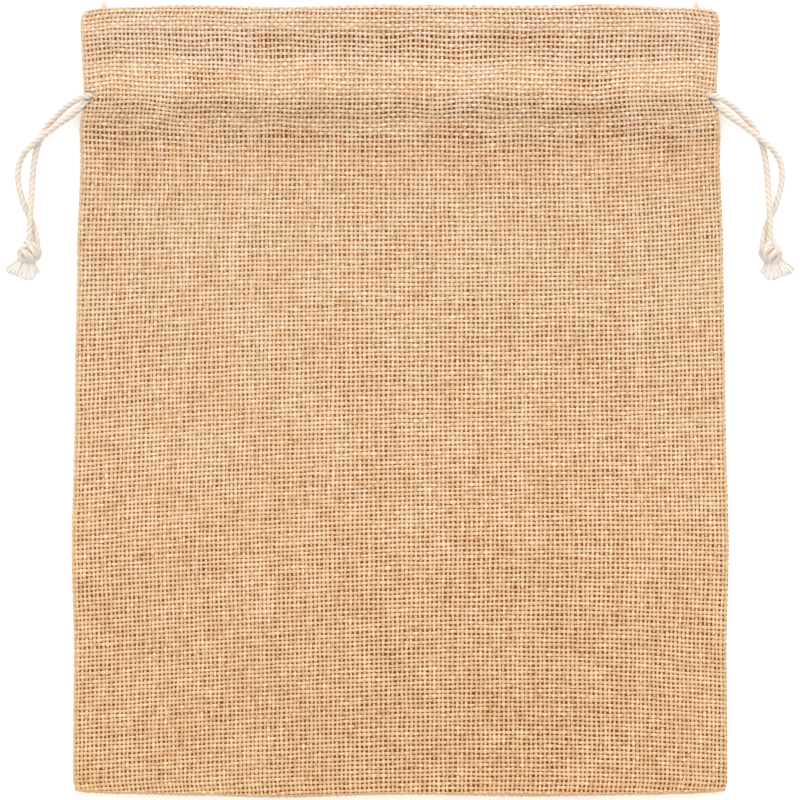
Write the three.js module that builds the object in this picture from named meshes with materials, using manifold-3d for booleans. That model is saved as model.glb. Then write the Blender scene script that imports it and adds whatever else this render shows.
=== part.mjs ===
// Drawstring gift bag of natural jute, lying flat on its back with its mouth towards +Y.
// Millimetres, +Z up. The origin is under the middle of the bag, on the surface that it lies on.
// Two jute panels are sewn together at the sides and the bottom. The top of each is turned in
// as a deep hem, and between the hem's two lines of stitching two cotton cords run in a casing.
import * as THREE from 'three';
import { mergeVertices } from 'three/addons/utils/BufferGeometryUtils.js';
import Module from 'manifold-3d';

const wasm = await Module();
wasm.setup();

// Cloth
const CLOTH = 1.2;
const BOTTOM_Y = -152.5;
const TOP_Y = 152;
const EDGE_ROLL = 2.2;
const SIDE_DROP = 0.5;

// Seam round the sides and the bottom, with its allowance turned in
const SEAM_LEVEL = 4.0;
const PIECE_GAP = 0.3;
const ALLOWANCE = 9;
const OPEN_SEAM_ALLOWANCE = 0.3;
const OPEN_SEAM = { from: 106, to: 125 };

// Hem and the casing in it
const HEM_HALF_WIDTH = 110;
const HEM_END_STEP = 0.6;
const HEM_GAP = 0.4;
const FOLD_STEPS = 4;
const FOLD_REACH = CLOTH + HEM_GAP / 2;

// Cotton cords
const CORD_RADIUS = 1.2;
const CORD_SIDES = 8;
const CASING_FLOOR = CLOTH + 2 * (CORD_RADIUS + PIECE_GAP);
const BACK_CORD_Z = CLOTH + PIECE_GAP + CORD_RADIUS;
const FRONT_CORD_Z = 8.4;
const FRONT_HEM_LEVEL = FRONT_CORD_Z - CORD_RADIUS - PIECE_GAP;
const CORD_JOIN_X = 109;
const CORD_LEAD = 2;
const TURN_X = 109.5;
const TURN_STEPS = 4;

// Each cord runs through the front and the back of the casing and leaves it at one side.
const CORDS = [
  { name: 'left', side: -1, y: 119.5 },
  { name: 'right', side: 1, y: 114.5 },
];

// Half of the bag's width, drawn in where the cords leave the casing
const HALF_WIDTH = [
  { y: -151, half: 125.1 },
  { y: -146, half: 126.0 },
  { y: -96, half: 125.7 },
  { y: -58, half: 126.5 },
  { y: 0, half: 125.3 },
  { y: 58, half: 124.4 },
  { y: 92, half: 123.2 },
  { y: 104, half: 123.4 },
  { y: 118, half: 121.8 },
  { y: 130, half: 122.5 },
  { y: 146, half: 123.2 },
  { y: 150, half: 122.0 },
];

// The mouth's edge and the bottom edge are a little wavy.
const TOP_EDGE = [
  { x: -123.4, y: 147.6 },
  { x: -122.5, y: 149.4 },
  { x: -121.3, y: 150.4 },
  { x: -117.5, y: 151.1 },
  { x: -112, y: 151.4 },
  { x: -85, y: 152.1 },
  { x: -46, y: 151.3 },
  { x: 0, y: 152.1 },
  { x: 48, y: 151.7 },
  { x: 77, y: 152.5 },
  { x: 108, y: 151.3 },
  { x: 118, y: 151.3 },
  { x: 121, y: 150.8 },
  { x: 122.5, y: 149.8 },
  { x: 123.4, y: 148.2 },
];
const BOTTOM_EDGE = [
  { x: -126, y: -150.6 },
  { x: -120, y: -151.4 },
  { x: -108, y: -151.8 },
  { x: -77, y: -152.5 },
  { x: -46, y: -153.2 },
  { x: 0, y: -152.1 },
  { x: 52, y: -152.8 },
  { x: 96, y: -152.2 },
  { x: 108, y: -151.8 },
  { x: 120, y: -151.3 },
  { x: 126, y: -150.7 },
];

// Height of the front along the middle of the bag: the body, the casing's swell between
// its two lines of stitching, and the header above it
const FRONT_HEIGHT = [
  { y: -153, z: 7.2 },
  { y: -120, z: 7.8 },
  { y: -40, z: 8.4 },
  { y: 40, z: 8.6 },
  { y: 82, z: 8.8 },
  { y: 96, z: 8.7 },
  { y: 117, z: 12.3 },
  { y: 132, z: 8.8 },
  { y: 142, z: 9.4 },
  { y: 149, z: 9.0 },
  { y: 152, z: 8.8 },
];

// The front bows up between its sides, and the bow runs out towards the bottom seam
const BOW = [
  { out: 40, rise: 4.2 },
  { out: 108, rise: 0 },
];
const BOW_LENGTH = [
  { y: -150, share: 0 },
  { y: -70, share: 1 },
];

// Soft swells and hollows of the front
const SWELLS = [
  { x: -75, y: 118, rise: -0.45, reachX: 10, reachY: 9 },
  { x: 73, y: 119, rise: -0.45, reachX: 12, reachY: 9 },
  { x: -102, y: 123, rise: 0.35, reachX: 11, reachY: 7 },
  { x: 38, y: 122, rise: 0.3, reachX: 26, reachY: 8 },
  { x: -33, y: 138, rise: -0.3, reachX: 24, reachY: 5 },
  { x: 42, y: 138, rise: -0.3, reachX: 14, reachY: 5 },
  { x: -28, y: 101, rise: -0.2, reachX: 16, reachY: 8 },
  { x: 92, y: 98, rise: -0.25, reachX: 20, reachY: 9 },
  { x: -8, y: 62, rise: 0.4, reachX: 50, reachY: 34 },
  { x: -110, y: -96, rise: -0.4, reachX: 14, reachY: 18 },
  { x: 110, y: -96, rise: -0.4, reachX: 14, reachY: 18 },
  { x: 16, y: -6, rise: -0.3, reachX: 20, reachY: 26 },
  { x: -122, y: 115.5, rise: -3.2, reachX: 6.5, reachY: 9 },
  { x: 122, y: 115.5, rise: -3.2, reachX: 6.5, reachY: 9 },
];

// The hem inside the panel, from the mouth down: it lies close at the lines of stitching
// and stands off in the casing
const HEM = [
  { y: 146, gap: HEM_GAP },
  { y: 138, gap: HEM_GAP },
  { y: 132, gap: PIECE_GAP },
  { y: 122.5, casing: true },
  { y: 111.5, casing: true },
  { y: 102, gap: PIECE_GAP },
  { y: 99.5, gap: HEM_GAP },
];

// Distances of the points from an edge, closer together where the cloth curls
const EDGE_POINTS = [0, 0.2, 0.7, 1.4, 2.2, 6];
const FRONT_X = [0, 14, 29, 40, 52, 64, 75, 86, 97];
const FRONT_Y = [
  -120, -96, -72, -40, -6, 30, 62, 88, 98, 102, 105.9, 106.1, 111.5, 117, 122.5, 124.9, 125.1,
  132, 138, 142, 147,
];
const BACK_X = [0, 60];
const BACK_Y = [-60, 60, 105.9, 106.1, 124.9, 125.1];

// Slit in the side seam through which a cord's two ends leave the casing
const SLIT = { out: 126, top: 120.3, tip: 117.2, bottom: 106.2, apexX: 115.2, mouthX: 117.4 };
const SLIT_TIP = { above: 1.8, below: 1.4 };
const SLIT_CUT = { fromZ: -10, depth: 40 };
const OUTLINE_SEGMENTS = 6;

// Corner of the allowance that stands out above the mouth
const TIP = { x: 113.9, halfWidth: 1.3, from: 147, shoulder: 151.6, to: 153.6, inset: 0.15 };

// Route of a cord's upper end, out from the middle of the bag: through the slit, down beside
// the bag and along the floor to the knot
const UPPER_END = [
  { out: 118.2, y: 117.4, z: 7.7 },
  { out: 122.3, y: 116.4, z: 7.2 },
  { out: 127.3, y: 113.7, z: 5.1 },
  { out: 131.3, y: 110.4, z: 3.1 },
  { out: 135.7, y: 106.0, z: 1.7 },
  { out: 138.2, y: 102.0, z: 1.22 },
  { out: 139.7, y: 97.8, z: 1.22 },
  { out: 140.8, y: 92.8, z: 1.22 },
  { out: 141.4, y: 88.0, z: 1.22 },
  { out: 141.8, y: 83.0, z: 1.4 },
  { out: 142.0, y: 78.0, z: 2.5 },
  { out: 142.2, y: 74.0, z: 3.7 },
  { out: 142.5, y: 69.5, z: 4.05 },
  { out: 142.6, y: 64.5, z: 4.0 },
  { out: 142.6, y: 60.2, z: 3.9 },
];

// Route of the lower end, which passes over the upper one, bows out and comes back under it
const LOWER_END = [
  { out: 119.8, y: 114.7, z: 6.1 },
  { out: 122.9, y: 112.4, z: 6.3 },
  { out: 127.8, y: 108.6, z: 5.1 },
  { out: 131.8, y: 106.0, z: 4.1 },
  { out: 135.6, y: 103.2, z: 4.0 },
  { out: 139.1, y: 100.6, z: 4.0 },
  { out: 142.2, y: 97.8, z: 3.4 },
  { out: 145.0, y: 94.8, z: 2.1 },
  { out: 146.8, y: 91.0, z: 1.3 },
  { out: 147.3, y: 87.0, z: 1.22 },
  { out: 147.0, y: 82.8, z: 1.22 },
  { out: 145.9, y: 78.4, z: 1.22 },
  { out: 144.5, y: 74.0, z: 1.22 },
  { out: 142.4, y: 70.0, z: 1.22 },
  { out: 140.7, y: 65.5, z: 1.5 },
  { out: 139.9, y: 61.8, z: 2.2 },
  { out: 139.6, y: 58.6, z: 2.6 },
];
const ENDS = [
  { name: 'upper', route: UPPER_END, z: FRONT_CORD_Z, bendOut: 113.8, bendZ: 7.0, bendShare: 0.4 },
  { name: 'lower', route: LOWER_END, z: BACK_CORD_Z, bendOut: 114.6, bendZ: 3.6, bendShare: 0.5 },
];

// Knot that ties a cord's two ends together, with the frayed ends below it as a tassel
const KNOT = { out: 142.4, y: 57.1, z: 3.15, ring: 2.6, tube: 1.06, steps: 36, sides: 7 };
const KNOT_TURNS = { around: 2, through: 3 };
const KNOT_STRETCH = { x: 0.98, y: 0.8, z: 1.26 };
const KNOT_CORE = { x: 3.0, y: 2.4, z: 2.0, around: 12, up: 8 };
const LOCK = { width: 0.5, height: 0.42, rootY: 55.6, rootShare: 0.2, restShare: 0.45 };
const LOCK_LAYERS = [
  { count: 15, floor: 0, rootZ: 1.2, shift: 0 },
  { count: 13, floor: 0.75, rootZ: 2.3, shift: 0.5 },
];
const FAN = [
  { share: 0, rootOut: 146.2, tipOut: 152.3, tipY: 50.2 },
  { share: 0.25, rootOut: 144.9, tipOut: 149.3, tipY: 47.8 },
  { share: 0.5, rootOut: 143.8, tipOut: 145.7, tipY: 46.3 },
  { share: 0.75, rootOut: 142.6, tipOut: 142.3, tipY: 46.4 },
  { share: 1, rootOut: 141.4, tipOut: 139.4, tipY: 48.4 },
];

const JUTE = new THREE.MeshStandardMaterial({ color: 0xddb78f, roughness: 0.95, metalness: 0 });
const COTTON = new THREE.MeshStandardMaterial({ color: 0xf0e8de, roughness: 0.9, metalness: 0 });

// Points closer than this are one point
const WELD = 1e-4;

// Column of a table at a place between its rows, eased from row to row
function read(table, key, column, place) {
  const next = table.findIndex((row) => row[key] >= place);
  if (next === 0) {
    return table[0][column];
  }
  if (next < 0) {
    return table[table.length - 1][column];
  }
  const from = table[next - 1];
  const to = table[next];
  const share = THREE.MathUtils.smoothstep(place, from[key], to[key]);
  return THREE.MathUtils.lerp(from[column], to[column], share);
}

function bow(x, y) {
  return read(BOW, 'out', 'rise', Math.abs(x)) * read(BOW_LENGTH, 'y', 'share', y);
}

// Height of the front's outer face, away from its curled edges
function frontFace(x, y) {
  let z = read(FRONT_HEIGHT, 'y', 'z', y) + bow(x, y) - SIDE_DROP * (x / HEM_HALF_WIDTH) ** 2;
  for (const swell of SWELLS) {
    const away = ((x - swell.x) / swell.reachX) ** 2 + ((y - swell.y) / swell.reachY) ** 2;
    z += swell.rise * Math.exp(-away);
  }
  return z;
}

// Share of the full height at a distance from an edge that curls in a quarter circle
function curl(distance, roll) {
  const left = 1 - Math.min(Math.max(distance, 0) / roll, 1);
  return Math.sqrt(1 - left * left);
}

// Patches of points in rows, sewn along their shared edges into one closed skin
class Skin {
  constructor(mirrored) {
    this.mirrored = mirrored;
    this.points = [];
    this.faces = [];
  }

  patch(rows, turned = false) {
    const first = this.points.length / 3;
    const width = rows[0].length;
    for (const point of rows.flat()) {
      this.points.push(point.x, point.y, point.z);
    }
    for (let r = 0; r + 1 < rows.length; r += 1) {
      for (let c = 0; c + 1 < width; c += 1) {
        const a = first + r * width + c;
        const corners = [a, a + 1, a + width + 1, a + width];
        if (turned !== this.mirrored) {
          corners.reverse();
        }
        this.faces.push(corners[0], corners[1], corners[2], corners[0], corners[2], corners[3]);
      }
    }
  }

  geometry() {
    const geometry = new THREE.BufferGeometry();
    geometry.setAttribute('position', new THREE.Float32BufferAttribute(this.points, 3));
    geometry.setIndex(this.faces);
    return geometry;
  }
}

// A closed geometry as a solid for joining and cutting
function solidOf(geometry) {
  const bare = geometry.clone();
  bare.deleteAttribute('normal');
  bare.deleteAttribute('uv');
  const merged = mergeVertices(bare, WELD);
  const vertProperties = new Float32Array(merged.attributes.position.array);
  const triVerts = new Uint32Array(merged.index.array);
  return new wasm.Manifold(new wasm.Mesh({ numProp: 3, vertProperties, triVerts }));
}

// A solid as a geometry again
function geometryOf(solid) {
  const mesh = solid.getMesh();
  const geometry = new THREE.BufferGeometry();
  geometry.setAttribute('position', new THREE.BufferAttribute(new Float32Array(mesh.vertProperties), 3));
  geometry.setIndex(new THREE.BufferAttribute(new Uint32Array(mesh.triVerts), 1));
  geometry.computeVertexNormals();
  return geometry;
}

// Places of the points across a panel, from -1 at the left seam to 1 at the right one
function acrossPlaces(innerX) {
  const half = read(HALF_WIDTH, 'y', 'half', TOP_Y);
  const edge = EDGE_POINTS.toReversed().map((d) => half - d);
  const right = [...innerX, HEM_HALF_WIDTH, HEM_HALF_WIDTH + HEM_END_STEP, ...edge];
  const left = right.slice(1).reverse().map((x) => -x);
  return [...left, ...right].map((x) => x / half);
}

// Places of the points along a panel, from 0 at the bottom to 1 at the mouth
function alongPlaces(innerY) {
  const bottom = EDGE_POINTS.map((d) => BOTTOM_Y + d);
  return [...bottom, ...innerY, TOP_Y].map((y) => (y - BOTTOM_Y) / (TOP_Y - BOTTOM_Y));
}

// One panel of the bag with its seam allowance and its hem, as one sheet
function panelGeometry({ seam, into, face, hemLevel, innerX, innerY }) {
  const across = acrossPlaces(innerX);
  const along = alongPlaces(innerY);
  const skin = new Skin(into > 0);
  const hemShare = (HEM_HALF_WIDTH + HEM_END_STEP / 2) / read(HALF_WIDTH, 'y', 'half', TOP_Y);
  const isHem = (a) => Math.abs(a) < hemShare;

  function place(a, b, inset) {
    const half = read(HALF_WIDTH, 'y', 'half', THREE.MathUtils.lerp(BOTTOM_Y, TOP_Y, b)) - inset;
    const x = a * half;
    const low = read(BOTTOM_EDGE, 'x', 'y', x) + inset;
    const high = read(TOP_EDGE, 'x', 'y', x) - (isHem(a) ? FOLD_REACH : 0);
    const y = THREE.MathUtils.lerp(low, high, b);
    const roll = EDGE_ROLL - inset;
    return { x, y, share: curl(half - Math.abs(x), roll) * curl(y - low, roll) };
  }

  function outer(a, b) {
    const { x, y, share } = place(a, b, 0);
    return new THREE.Vector3(x, y, THREE.MathUtils.lerp(seam, face(x, y), share));
  }

  function inner(a, b) {
    const { x, y, share } = place(a, b, CLOTH);
    const edge = seam - into * CLOTH;
    return new THREE.Vector3(x, y, THREE.MathUtils.lerp(edge, face(x, y) + into * CLOTH, share));
  }

  function allowance(a, b, z) {
    const y = THREE.MathUtils.lerp(BOTTOM_Y, TOP_Y, b);
    const open = y > OPEN_SEAM.from && y < OPEN_SEAM.to;
    const { x, y: placeY } = place(a, b, CLOTH + (open ? OPEN_SEAM_ALLOWANCE : ALLOWANCE));
    return new THREE.Vector3(x, placeY, z);
  }

  skin.patch(along.map((b) => across.map((a) => outer(a, b))));
  skin.patch(along.map((b) => across.map((a) => inner(a, b))), true);

  // Seam: the edge, then the allowance in and back
  const leftSide = along.slice(1).reverse().map((b) => [-1, b]);
  const bottom = across.map((a) => [a, 0]);
  const rightSide = along.slice(1).map((b) => [1, b]);
  const loop = [...leftSide, ...bottom, ...rightSide];
  const seamRows = [
    loop.map(([a, b]) => outer(a, b)),
    loop.map(([a, b]) => allowance(a, b, seam)),
    loop.map(([a, b]) => allowance(a, b, seam - into * CLOTH)),
    loop.map(([a, b]) => inner(a, b)),
  ];
  skin.patch(seamRows, true);
  const [edgeRow, underRow, overRow, insideRow] = seamRows;
  const end = loop.length - 1;
  skin.patch([[edgeRow[0], underRow[0]], [insideRow[0], overRow[0]]], true);
  skin.patch([[edgeRow[end], underRow[end]], [insideRow[end], overRow[end]]]);

  // Mouth: the cloth's cut edge at both corners, and the hem's fold between them
  const hemFirst = across.findIndex(isHem);
  const hemLast = across.findLastIndex(isHem);
  for (const corner of [across.slice(0, hemFirst + 1), across.slice(hemLast)]) {
    skin.patch([corner.map((a) => outer(a, 1)), corner.map((a) => inner(a, 1))]);
  }

  // Hem: rows of the sheet's two faces round the fold and down the inside
  function foldRow(start, reach, angle) {
    return start.map(({ x, y }) => {
      const middle = face(x, y) + into * FOLD_REACH;
      return new THREE.Vector3(x, y + reach * Math.sin(angle), middle - into * reach * Math.cos(angle));
    });
  }

  function hemRow(start, row, depth) {
    return start.map(({ x }) => {
      const near = row.casing ? hemLevel(x, row.y) : face(x, row.y) + into * (CLOTH + row.gap);
      return new THREE.Vector3(x, row.y, near + into * depth);
    });
  }

  const hemAcross = across.slice(hemFirst, hemLast + 1);
  const outerStart = hemAcross.map((a) => outer(a, 1));
  const innerStart = hemAcross.map((a) => inner(a, 1));
  const outerRows = [outerStart];
  const innerRows = [innerStart];
  for (let step = 1; step <= FOLD_STEPS; step += 1) {
    const angle = (Math.PI * step) / FOLD_STEPS;
    outerRows.push(foldRow(outerStart, FOLD_REACH, angle));
    innerRows.push(foldRow(innerStart, HEM_GAP / 2, angle));
  }
  for (const row of HEM) {
    outerRows.push(hemRow(outerStart, row, CLOTH));
    innerRows.push(hemRow(innerStart, row, 0));
  }
  skin.patch(outerRows);
  skin.patch(innerRows, true);
  const lastColumn = hemAcross.length - 1;
  skin.patch([outerRows.map((row) => row[0]), innerRows.map((row) => row[0])]);
  skin.patch([outerRows.map((row) => row[lastColumn]), innerRows.map((row) => row[lastColumn])], true);
  skin.patch([outerRows.at(-1), innerRows.at(-1)]);
  return skin.geometry();
}

// Wedge that opens the side seam at the casing
function slitSolid(side) {
  const shape = new THREE.Shape();
  shape.moveTo(side * SLIT.out, SLIT.top);
  shape.lineTo(side * SLIT.mouthX, SLIT.tip + SLIT_TIP.above);
  shape.quadraticCurveTo(side * SLIT.apexX, SLIT.tip, side * SLIT.mouthX, SLIT.tip - SLIT_TIP.below);
  shape.lineTo(side * SLIT.out, SLIT.bottom);
  const { depth, fromZ } = SLIT_CUT;
  const curveSegments = OUTLINE_SEGMENTS;
  const geometry = new THREE.ExtrudeGeometry(shape, { depth, bevelEnabled: false, curveSegments });
  geometry.translate(0, 0, fromZ);
  return solidOf(geometry);
}

// Pointed corner of the front's allowance above the mouth
function tipSolid(side, seam) {
  const shape = new THREE.Shape();
  shape.moveTo(side * (TIP.x - TIP.halfWidth), TIP.from);
  shape.lineTo(side * (TIP.x + TIP.halfWidth), TIP.from);
  shape.lineTo(side * (TIP.x + TIP.halfWidth), TIP.shoulder);
  const pull = 2 * TIP.to - TIP.shoulder;
  shape.quadraticCurveTo(side * TIP.x, pull, side * (TIP.x - TIP.halfWidth), TIP.shoulder);
  const depth = CLOTH - 2 * TIP.inset;
  const curveSegments = OUTLINE_SEGMENTS;
  const geometry = new THREE.ExtrudeGeometry(shape, { depth, bevelEnabled: false, curveSegments });
  geometry.translate(0, 0, seam + TIP.inset);
  return solidOf(geometry);
}

function frontPanel() {
  const seam = SEAM_LEVEL + PIECE_GAP / 2;
  const sheet = panelGeometry({
    seam,
    into: -1,
    face: frontFace,
    hemLevel: (x, y) => FRONT_HEM_LEVEL + bow(x, y),
    innerX: FRONT_X,
    innerY: FRONT_Y,
  });
  let solid = solidOf(sheet);
  for (const { side } of CORDS) {
    solid = solid.subtract(slitSolid(side)).add(tipSolid(side, seam));
  }
  return geometryOf(solid);
}

function backPanel() {
  const sheet = panelGeometry({
    seam: SEAM_LEVEL - PIECE_GAP / 2,
    into: 1,
    face: () => 0,
    hemLevel: () => CASING_FLOOR,
    innerX: BACK_X,
    innerY: BACK_Y,
  });
  let solid = solidOf(sheet);
  for (const { side } of CORDS) {
    solid = solid.subtract(slitSolid(side));
  }
  return geometryOf(solid);
}

// A cord's line through chosen points, with its steps at those points
class CordLine extends THREE.CatmullRomCurve3 {
  getPointAt(u, target) {
    return this.getPoint(u, target);
  }

  getTangentAt(u, target) {
    return this.getTangent(u, target);
  }
}

function cordGeometry(points, radius) {
  const ring = [];
  for (let i = 0; i < CORD_SIDES; i += 1) {
    const angle = (2 * Math.PI * i) / CORD_SIDES;
    ring.push(new THREE.Vector2(radius * Math.cos(angle), radius * Math.sin(angle)));
  }
  return new THREE.ExtrudeGeometry(new THREE.Shape(ring), {
    extrudePath: new CordLine(points),
    steps: points.length - 1,
  });
}

// The stretch of a cord inside the casing: along the front, round at the far side, along the back
function casingPoints({ side, y }) {
  const level = (FRONT_CORD_Z + BACK_CORD_Z) / 2;
  const radius = (FRONT_CORD_Z - BACK_CORD_Z) / 2;
  const turn = [];
  for (let step = 0; step <= TURN_STEPS; step += 1) {
    const angle = Math.PI / 2 - (Math.PI * step) / TURN_STEPS;
    const x = -side * (TURN_X + radius * Math.cos(angle));
    turn.push(new THREE.Vector3(x, y, level + radius * Math.sin(angle)));
  }
  const bowOut = FRONT_X.filter((x) => x >= BOW[0].out);
  const runX = [CORD_JOIN_X, ...bowOut.toReversed(), ...bowOut.map((x) => -x)].map((x) => side * x);
  const front = runX.map((x) => new THREE.Vector3(x, y, FRONT_CORD_Z + bow(x, y)));
  const back = [runX.at(-1), runX[0]].map((x) => new THREE.Vector3(x, y, BACK_CORD_Z));
  return [...front, ...turn, ...back];
}

// A cord's free end, from its run in the casing out through the slit to the knot
function endPoints({ side, y }, end) {
  const start = new THREE.Vector3(side * (CORD_JOIN_X + PIECE_GAP), y, end.z);
  const lead = new THREE.Vector3(side * (CORD_JOIN_X + CORD_LEAD), y, end.z);
  const bendY = THREE.MathUtils.lerp(y, end.route[0].y, end.bendShare);
  const bend = new THREE.Vector3(side * end.bendOut, bendY, end.bendZ);
  const route = end.route.map((row) => new THREE.Vector3(side * row.out, row.y, row.z));
  return [start, lead, bend, ...route];
}

// One lock of the tassel, four-sided, from the knot down to the floor and along it
function lockGeometry(side, share, layer) {
  const rootX = side * read(FAN, 'share', 'rootOut', share);
  const tipX = side * read(FAN, 'share', 'tipOut', share);
  const tipY = read(FAN, 'share', 'tipY', share);
  const stations = [
    { share: 0, z: layer.rootZ },
    { share: LOCK.rootShare, z: layer.rootZ },
    { share: LOCK.restShare, z: layer.floor + LOCK.height / 2 },
    { share: 1, z: layer.floor + LOCK.height / 2 },
  ];
  const heading = new THREE.Vector2(tipX - rootX, tipY - LOCK.rootY).normalize();
  const acrossX = (-heading.y * LOCK.width) / 2;
  const acrossY = (heading.x * LOCK.width) / 2;
  const rise = LOCK.height / 2;
  const rows = stations.map((station) => {
    const x = THREE.MathUtils.lerp(rootX, tipX, station.share);
    const y = THREE.MathUtils.lerp(LOCK.rootY, tipY, station.share);
    return [
      new THREE.Vector3(x - acrossX, y - acrossY, station.z - rise),
      new THREE.Vector3(x + acrossX, y + acrossY, station.z - rise),
      new THREE.Vector3(x + acrossX, y + acrossY, station.z + rise),
      new THREE.Vector3(x - acrossX, y - acrossY, station.z + rise),
      new THREE.Vector3(x - acrossX, y - acrossY, station.z - rise),
    ];
  });
  const skin = new Skin(false);
  skin.patch(rows);
  const [a, b, c, d] = rows[0];
  skin.patch([[a, d], [b, c]]);
  const [e, f, g, h] = rows.at(-1);
  skin.patch([[e, f], [h, g]]);
  return skin.geometry();
}

// Knot with its tassel, hollowed where the cord's two ends go in
function knotGeometry(cord) {
  const x = cord.side * KNOT.out;
  const turns = new THREE.TorusKnotGeometry(
    KNOT.ring,
    KNOT.tube,
    KNOT.steps,
    KNOT.sides,
    KNOT_TURNS.around,
    KNOT_TURNS.through,
  );
  turns.scale(KNOT_STRETCH.x, KNOT_STRETCH.y, KNOT_STRETCH.z);
  turns.translate(x, KNOT.y, KNOT.z);
  const core = new THREE.SphereGeometry(1, KNOT_CORE.around, KNOT_CORE.up);
  core.scale(KNOT_CORE.x, KNOT_CORE.y, KNOT_CORE.z);
  core.translate(x, KNOT.y, KNOT.z);
  let solid = solidOf(turns).add(solidOf(core));
  for (const layer of LOCK_LAYERS) {
    for (let i = 0; i < layer.count; i += 1) {
      const share = (i + layer.shift) / (layer.count - 1 + 2 * layer.shift);
      solid = solid.add(solidOf(lockGeometry(cord.side, share, layer)));
    }
  }
  for (const end of ENDS) {
    const points = endPoints(cord, end);
    const last = points.at(-1).clone();
    const before = points.at(-2);
    points.push(last.clone().addScaledVector(last.clone().sub(before).normalize(), PIECE_GAP));
    solid = solid.subtract(solidOf(cordGeometry(points, CORD_RADIUS + PIECE_GAP)));
  }
  return geometryOf(solid);
}

const bag = new THREE.Group();

function addPiece(name, geometry, material) {
  const mesh = new THREE.Mesh(geometry, material);
  mesh.name = name;
  bag.add(mesh);
}

addPiece('front_panel', frontPanel(), JUTE);
addPiece('back_panel', backPanel(), JUTE);
for (const cord of CORDS) {
  addPiece(`cord_${cord.name}_in_casing`, cordGeometry(casingPoints(cord), CORD_RADIUS), COTTON);
  for (const end of ENDS) {
    const points = endPoints(cord, end);
    addPiece(`cord_${cord.name}_${end.name}_end`, cordGeometry(points, CORD_RADIUS), COTTON);
  }
  addPiece(`knot_${cord.name}`, knotGeometry(cord), COTTON);
}

export default bag;
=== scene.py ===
# %% [markdown]
# # A jute gift bag with cotton drawstrings
# The bag lies empty on its back on a pale table, its mouth towards +Y, and the camera looks straight
# down on it. What makes it read as jute is the open weave: thick uneven yarns, one over and one under,
# with dark holes between them. A weave drawn in a material would look flat from close by, so the cloth
# here is woven from real strips, a few hundred yarns laid over the bag's own swells and folds.
# The cords are three-ply cotton rope, tied in a knot at each side with the ends combed out as a tassel.
# Sizes are in millimetres, and each mesh is scaled to metres when it is made.

import bpy
import numpy as np
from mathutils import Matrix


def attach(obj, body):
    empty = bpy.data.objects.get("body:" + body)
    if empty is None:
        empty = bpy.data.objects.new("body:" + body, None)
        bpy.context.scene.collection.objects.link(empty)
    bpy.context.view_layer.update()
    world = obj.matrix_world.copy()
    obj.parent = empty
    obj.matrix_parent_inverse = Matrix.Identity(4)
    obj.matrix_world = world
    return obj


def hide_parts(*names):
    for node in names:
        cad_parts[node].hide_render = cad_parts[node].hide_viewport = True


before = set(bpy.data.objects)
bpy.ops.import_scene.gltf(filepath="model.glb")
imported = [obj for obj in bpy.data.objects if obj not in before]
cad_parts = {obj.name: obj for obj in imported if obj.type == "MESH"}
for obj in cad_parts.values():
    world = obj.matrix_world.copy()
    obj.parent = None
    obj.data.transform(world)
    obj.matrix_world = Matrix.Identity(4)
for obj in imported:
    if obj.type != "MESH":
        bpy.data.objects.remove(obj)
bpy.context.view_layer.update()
scene = bpy.context.scene
MM = 0.001
print("CAD nodes:", ", ".join(sorted(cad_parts)))

# %% [markdown]
# ## Camera
# The photo is taken from straight above with a long lens, so the bag's sides don't show.
# A camera without perspective would come close too, but a long lens some way up is how such photos are
# taken, and it keeps the other views natural.
# The picture is 308 mm wide at the height of the seam, which puts the bag where the photo has it.

# %% Camera
PICTURE_WIDTH = 308
PICTURE_LEVEL = 4
LENS = 300
SENSOR = 36
FARTHEST_SEEN_M = 20

camera_data = bpy.data.cameras.new("camera")
camera_data.lens = LENS
camera_data.sensor_width = SENSOR
camera_data.clip_end = FARTHEST_SEEN_M
camera = bpy.data.objects.new("camera", camera_data)
camera.location.z = (PICTURE_LEVEL + PICTURE_WIDTH * LENS / SENSOR) * MM
scene.collection.objects.link(camera)
scene.camera = camera
print(f"camera {camera.location.z:.2f} m above the table")


# %% [markdown]
# ## Small tools
# Blender has curves and modifiers for ropes and cloth. Here numpy works out where each point lies,
# because a yarn has to know where the bag's surface is at every crossing.
# A table has named columns, and `read` finds a value between its rows, eased so that no kink shows.
# Every soft piece is a set of strips: a yarn is a strip three points wide, and a rope is a strip closed
# round. `strip_mesh` turns such an array of points into one mesh, with a texture map that gives each
# strip its own band.

# %% Tables and curves
SPAN_STEPS = 24


def table(columns, *rows):
    """A table as {column name: values}."""
    return dict(zip(columns.split(), np.array(rows, float).T))


def read(rows, key, column, place):
    """A column's value at a place between the rows, eased from row to row."""
    keys, values = rows[key], rows[column]
    place = np.clip(place, keys[0], keys[-1])
    after = np.clip(np.searchsorted(keys, place), 1, len(keys) - 1)
    share = (place - keys[after - 1]) / (keys[after] - keys[after - 1])
    share = share * share * (3 - 2 * share)
    return values[after - 1] + (values[after] - values[after - 1]) * share


def unit(vectors):
    """The vectors at length 1."""
    return vectors / np.linalg.norm(vectors, axis=-1, keepdims=True)


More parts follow.
